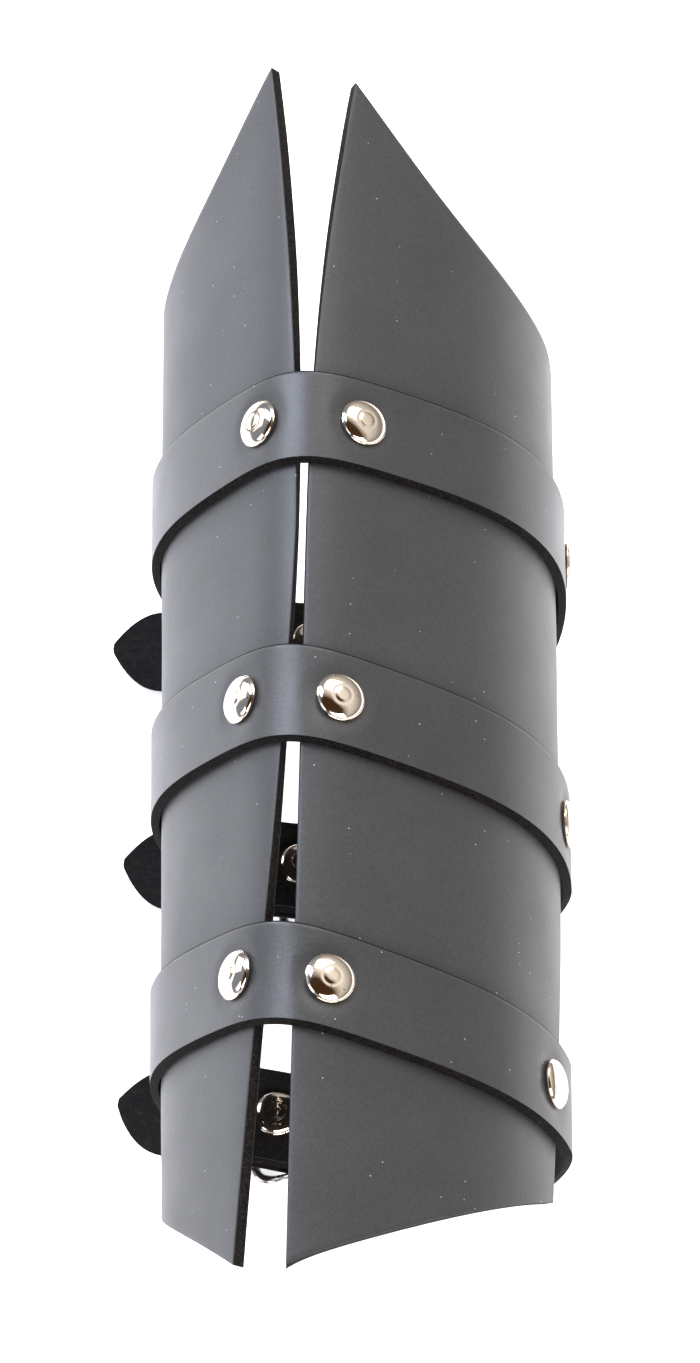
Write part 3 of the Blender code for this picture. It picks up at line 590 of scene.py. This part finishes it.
for strap in STRAPS:
    strap["station"] = WRIST_END + strap["station"] * LENGTH
    strap["crest"] = on_last(0.0, strap["station"], STRAP_MIDDLE)
    strap["bar_at"] = np.array((strap["bar"] * FORM_RADIUS, 0, CENTRE_BAR))
    strap["bar_at"][1] = place_along(strap, strap["bar_at"]) + strap["rear"] * STRAP_WIDTH
    lay = math.atan(strap["lay"])
    strap["ahead"] = np.array((math.cos(lay), -math.sin(lay), 0))
    strap["across"] = np.array((math.sin(lay), math.cos(lay), 0))
    pairs, thickness = strap_course(strap)
    pairs = pairs + STAND
    middles = pairs.mean(axis=1)
    ahead = np.gradient(middles, axis=0)
    outward = np.cross(ahead, pairs[:, 1] - pairs[:, 0])
    outward /= np.linalg.norm(outward, axis=1, keepdims=True)

    # One closed outline at each station: a point's place across and through the strap, how many
    # roundings it stands back from the edge, and the material from it to the next point
    half = np.linalg.norm(pairs[:, 1] - pairs[:, 0], axis=1) / 2
    width = (pairs[:, 1] - pairs[:, 0]) / (2 * half[:, None])
    rounding = np.minimum(CUT_ROUNDING, 0.3 * half)
    slant = np.minimum(STRAP_SLANT, 0.2 * half)
    steps = np.linspace(-1, 1, 25)
    outline = [(x, -1, 1, FLESH) for x in steps[:-1]]
    # At the upper edge the near-black cut material reaches two roundings onto the grain side: painted shade,
    # a dark line along the strap's top edge
    outline += [(1, -1, 1, CUT), (1, -1, 0, CUT), (1, 1, 0, CUT), (1, 1, 2, GRAIN)]
    outline += [(x, 1, 1, GRAIN) for x in steps[-2:0:-1]]
    outline += [(-1, 1, 1, CUT), (-1, 1, 0, CUT), (-1, -1, 0, CUT)]
    rings = np.empty((len(pairs), len(outline), 3))
    for i, (x, y, back, _) in enumerate(outline):
        reach = x * (half - back * rounding)
        if (x, y) == (-1, -1):
            reach = reach - slant
        height = y * (thickness / 2 - (0 if back else rounding))
        rings[:, i] = middles + reach[:, None] * width + height[:, None] * outward

    # The caps have been hammered home, so the hide is pressed in round them
    for place in ("front_left", "front_right", "side_left", "side_right", "fold"):
        outer, inner = rivet_poles(f"rivet_{strap['name']}_{place}")
        axis = (outer - inner) / np.linalg.norm(outer - inner)
        offset = rings - outer
        deep = offset @ axis
        away = np.linalg.norm(offset - deep[..., None] * axis, axis=-1)
        pressed = DIMPLE_DEPTH * np.exp(-np.clip(away - CAP_RADIUS, 0, None) ** 2 / DIMPLE_REACH**2)
        here = (np.abs(deep) < RIVET_REACH) & ((rings - middles[:, None]) @ axis > 0)
        rings = rings - (pressed * here)[..., None] * axis

    count = len(outline)
    base = np.arange(len(pairs) - 1)[:, None] * count
    step = np.arange(count)[None, :]
    following = (step + 1) % count
    faces = np.stack((base + step, base + following, base + count + following, base + count + step), -1)
    faces = faces.reshape(-1, 4).tolist()
    kinds = [kind for *_, kind in outline] * (len(pairs) - 1) + [CUT, CUT]
    faces += [list(range(count))[::-1], list(range((len(pairs) - 1) * count, len(pairs) * count))]
    mesh = bpy.data.meshes.new("strap_" + strap["name"] + "_hide")
    mesh.from_pydata(rings.reshape(-1, 3).tolist(), [], faces)
    mesh.polygons.foreach_set("material_index", kinds)
    for material in (strap_grain, flesh_side, strap_cut_painted_shade):
        mesh.materials.append(material)
    piece = bpy.data.objects.new(mesh.name, mesh)
    bpy.context.scene.collection.objects.link(piece)
    shell = bmesh.new()
    shell.from_mesh(mesh)
    bmesh.ops.recalc_face_normals(shell, faces=shell.faces)
    shell.to_mesh(mesh)
    shell.free()

    # The tail is punched along its middle, but not under the centre bar. A slot in the fold lets the
    # tongue turn on its bar.
    for step in range(-2, 3):
        reach = TONGUE_HOLE + step * HOLE_PITCH
        if step == 0 or abs(reach) > RING_RADIUS + HOLE_RADIUS:
            stretch = HOLE_STRETCH if step == 0 else 0
            height = float(tail_height(reach))
            punch(piece, strap, reach, height, 2 * HOLE_RADIUS, 1.7 * STRAP_THICKNESS, stretch)
    depth = 2 * FOLD_RADIUS + 2.1 * FOLD_THICKNESS
    height = CENTRE_BAR + 0.45 * FOLD_THICKNESS
    punch(piece, strap, -0.25 * FOLD_RADIUS, height, TONGUE_SLOT, depth, 1.6 * FOLD_RADIUS)
    bpy.ops.object.mode_set(mode="EDIT")
    bpy.ops.mesh.select_all(action="SELECT")
    bpy.ops.mesh.remove_doubles(threshold=0.000002)
    bpy.ops.mesh.dissolve_degenerate(threshold=0.000002)
    bpy.ops.mesh.fill_holes(sides=0)
    bpy.ops.object.mode_set(mode="OBJECT")
    mesh = piece.data
    mesh.shade_smooth()
    mesh.set_sharp_from_angle(angle=math.radians(35))
    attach(piece, "root")
    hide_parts("strap_" + strap["name"])


# Rivets
# Double-cap rivets of nickel-plated steel. A hollow domed cap is pressed on each end of a post, and the
# setter leaves a faint ring and a few marks on the dome.

CAP_HEIGHT = 0.0019
CAP_RIM = 0.0005
CAP_SEAT = 0.00025  # the outer caps sit this deep in their dimples
POST_RADIUS = 0.0015
SETTER_RADIUS = 0.0017
SETTER_MARK = 0.00010


def nickel(name, colour, roughness, marks):
    """Bright nickel plate over steel: warm white, mirror-like, with fine rub marks and small dull spots."""
    material, tree, output = new_material(name)
    places = add(tree, "ShaderNodeTexCoord").outputs["Object"]
    rubs = add(tree, "ShaderNodeTexNoise", {"Vector": places}, Scale=1 / 0.0011, Detail=4.0, Roughness=0.65)
    gloss = add(tree, "ShaderNodeMapRange", {"Value": rubs.outputs["Fac"]},
                From_Min=0.35, From_Max=0.75, To_Min=roughness, To_Max=roughness + marks)
    cells = add(tree, "ShaderNodeTexVoronoi", {"Vector": places}, Scale=1 / 0.0016)
    spot = add(tree, "ShaderNodeMath", {0: cells.outputs["Distance"]}, operation="LESS_THAN")
    spot.inputs[1].default_value = 0.09
    tone = add(tree, "ShaderNodeMix", {"Factor": spot.outputs[0]}, data_type="RGBA")
    tone.inputs["A"].default_value = linear(colour)
    tone.inputs["B"].default_value = linear("5c4c40")
    bump = add(tree, "ShaderNodeBump", {"Height": rubs.outputs["Fac"]}, Strength=0.2, Distance=0.00002)
    shader = add(tree, "ShaderNodeBsdfPrincipled", {
        "Base Color": tone.outputs["Result"],
        "Roughness": gloss.outputs["Result"],
        "Normal": bump.outputs["Normal"],
    }, Metallic=1.0)
    tree.links.new(shader.outputs["BSDF"], output.inputs["Surface"])
    return material


# Bright nickel plate: buffed, so that the dome mirrors the room. Its warm tint is partly the nickel's own
# colour and partly a painted reflection of the brown room
polished_nickel = nickel("bright nickel plate", "efe0cd", 0.05, 0.10)


def cap_profile(height):
    """Radius and height from the middle of a cap out to its rim and under it to the post."""
    dome = []
    for i in range(31):
        around = math.pi / 2 * i / 30
        radius = 0.97 * CAP_RADIUS * math.sin(around)
        ring = SETTER_MARK * math.exp(-((radius - SETTER_RADIUS) / 0.00032) ** 2)
        dome.append((radius, CAP_RIM + (height - CAP_RIM) * math.cos(around) ** 1.15 - ring))
    rim = [(CAP_RADIUS, 0.8 * CAP_RIM), (CAP_RADIUS, 0.3 * CAP_RIM), (0.97 * CAP_RADIUS, 0.0)]
    return dome + rim + [(POST_RADIUS, 0.0)]


# One rivet is spun, its outer cap over z = 1 and its inner cap under z = -1, and copied to each place
profile = [(radius, 1 + z) for radius, z in cap_profile(CAP_HEIGHT)]
profile += [(radius, -1 - z) for radius, z in reversed(cap_profile(BACK_HEIGHT))]
mesh = bpy.data.meshes.new("rivet")
links = [(i, i + 1) for i in range(len(profile) - 1)]
mesh.from_pydata([(radius, 0, z) for radius, z in profile], links, [])
master = bpy.data.objects.new("rivet", mesh)
bpy.context.scene.collection.objects.link(master)
deselect()
bpy.context.view_layer.objects.active = master
master.select_set(True)
bpy.ops.object.mode_set(mode="EDIT")
bpy.ops.mesh.select_all(action="SELECT")
bpy.ops.mesh.spin(steps=44, angle=2 * math.pi, center=(0, 0, 0), axis=(0, 0, 1))
bpy.ops.mesh.select_all(action="SELECT")
bpy.ops.mesh.remove_doubles(threshold=0.00001)
bpy.ops.mesh.normals_make_consistent(inside=False)
bpy.ops.object.mode_set(mode="OBJECT")

for node in sorted(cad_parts):
    if not node.startswith("rivet_"):
        continue
    outer, inner = rivet_poles(node)
    axis = Vector(outer - inner).normalized()
    aim = axis.to_track_quat("Z", "Y").to_matrix()
    piece = bpy.data.objects.new(node + "_nickel", mesh.copy())
    piece.data.name = piece.name
    bpy.context.scene.collection.objects.link(piece)
    for vert in piece.data.vertices:
        x, y, z = vert.co
        if z > 0:
            vert.co = Vector(outer) - CAP_SEAT * axis + aim @ Vector((x, y, z - 1 - CAP_HEIGHT))
        else:
            vert.co = Vector(inner) + aim @ Vector((x, y, z + 1 + BACK_HEIGHT))
    piece.data.materials.append(polished_nickel)
    piece.data.shade_smooth()
    piece.data.set_sharp_from_angle(angle=math.radians(55))
    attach(piece, "root")
    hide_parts(node)
bpy.data.objects.remove(master)


# Buckles
# Centre-bar buckles of 2.4 mm nickel-plated steel wire, bent to a rounded rectangle and arched, so that
# the end bars pass under the tail and the centre bar over it. The bar is brazed in.

FRAME_CORNER = 0.0030
HALF_FRAME = STRAP_WIDTH / 2 + 0.0006 + WIRE / 2
BUCKLE_RADIUS = 0.98 * WIRE / 2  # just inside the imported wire

# Nickel-plated wire: tumbled, not buffed, and so a little duller
wire_nickel = nickel("nickel-plated wire", "dcd6cd", 0.11, 0.2)


def wire_object(name, courses, radius, closed):
    """Round wire bent along one or more courses of points, as one mesh with closed ends."""
    curve = bpy.data.curves.new(name, "CURVE")
    curve.dimensions = "3D"
    curve.bevel_depth = radius
    curve.bevel_resolution = 5
    curve.use_fill_caps = True
    for course, loop in zip(courses, closed):
        spline = curve.splines.new("POLY")
        spline.points.add(len(course) - 1)
        for point, (x, y, z) in zip(spline.points, course):
            point.co = (x, y, z, 1)
        spline.use_cyclic_u = loop
    piece = bpy.data.objects.new(name, curve)
    bpy.context.scene.collection.objects.link(piece)
    deselect()
    bpy.context.view_layer.objects.active = piece
    piece.select_set(True)
    bpy.ops.object.convert(target="MESH")
    piece = bpy.context.object
    bpy.ops.object.mode_set(mode="EDIT")
    bpy.ops.mesh.select_all(action="SELECT")
    bpy.ops.mesh.remove_doubles(threshold=0.000005)
    bpy.ops.mesh.normals_make_consistent(inside=False)
    bpy.ops.object.mode_set(mode="OBJECT")
    piece.data.shade_smooth()
    return piece


for strap in STRAPS:
    outline = []
    for turn, (along, across) in enumerate(((1, 1), (-1, 1), (-1, -1), (1, -1))):
        for i in range(9):
            around = math.pi / 2 * (turn + i / 8)
            outline.append((along * (EYE - FRAME_CORNER) + FRAME_CORNER * math.cos(around),
                            across * (HALF_FRAME - FRAME_CORNER) + FRAME_CORNER * math.sin(around)))
        if across == along:  # the two long sides are arched, and have points between their corners
            arm = (EYE - FRAME_CORNER) * along
            outline += [(arm * (1 - step / 12), across * HALF_FRAME) for step in range(1, 24)]
    reach, across = np.array(outline).T
    flat = WIRE / 2 + (RIGHT_BAR - WIRE / 2) * (reach + EYE) / (2 * EYE)
    share = np.minimum(1, np.abs(reach) / (EYE - FRAME_CORNER))
    course = strap["bar_at"] + reach[:, None] * strap["ahead"] + across[:, None] * strap["across"] + STAND
    course[:, 2] = flat + (CENTRE_BAR - (WIRE / 2 + RIGHT_BAR) / 2) * (1 + np.cos(math.pi * share)) / 2
    sides = np.linspace(-HALF_FRAME, HALF_FRAME, 12)[:, None]
    bar = strap["bar_at"] + STAND + sides * strap["across"]
    piece = wire_object(f"buckle_{strap['name']}_wire", (course, bar), BUCKLE_RADIUS, (True, False))
    piece.data.materials.append(wire_nickel)
    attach(piece, "root")
    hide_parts("buckle_" + strap["name"])


# Tongues
# A thinner nickel-plated wire, curled round the centre bar, that goes down through a hole in the tail
# and lies under the right end bar. Its end is cut square.

TONGUE_RADIUS = 0.97 * TONGUE / 2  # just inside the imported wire

for strap in STRAPS:
    ring = RING_RADIUS - TONGUE / 2
    around = np.radians(np.linspace(280, -20, 31))
    low = TONGUE / 2
    knots = np.array([(ring * math.cos(math.radians(-20)), CENTRE_BAR + ring * math.sin(math.radians(-20))),
                      (0.34 * EYE, 0.68 * CENTRE_BAR), (0.62 * EYE, 0.34 * CENTRE_BAR),
                      (0.84 * EYE, 1.35 * low), (EYE, low), (EYE + 0.8 * WIRE, low)])
    curl = np.stack((ring * np.cos(around), CENTRE_BAR + ring * np.sin(around)), 1)
    spread = np.linspace(0, len(knots) - 1, 41)[1:]
    rest = np.stack([np.interp(spread, range(len(knots)), knots[:, i]) for i in (0, 1)], 1)
    for _ in range(6):
        rest[1:-1] = (rest[:-2] + rest[1:-1] + rest[2:]) / 3
    places = np.concatenate((curl, rest))
    course = strap["bar_at"] + places[:, :1] * strap["ahead"] + STAND
    course[:, 2] = places[:, 1]
    piece = wire_object(f"tongue_{strap['name']}_wire", (course,), TONGUE_RADIUS, (False,))
    piece.data.materials.append(wire_nickel)
    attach(piece, "root")
    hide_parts("tongue_" + strap["name"])


bpy.context.view_layer.update()
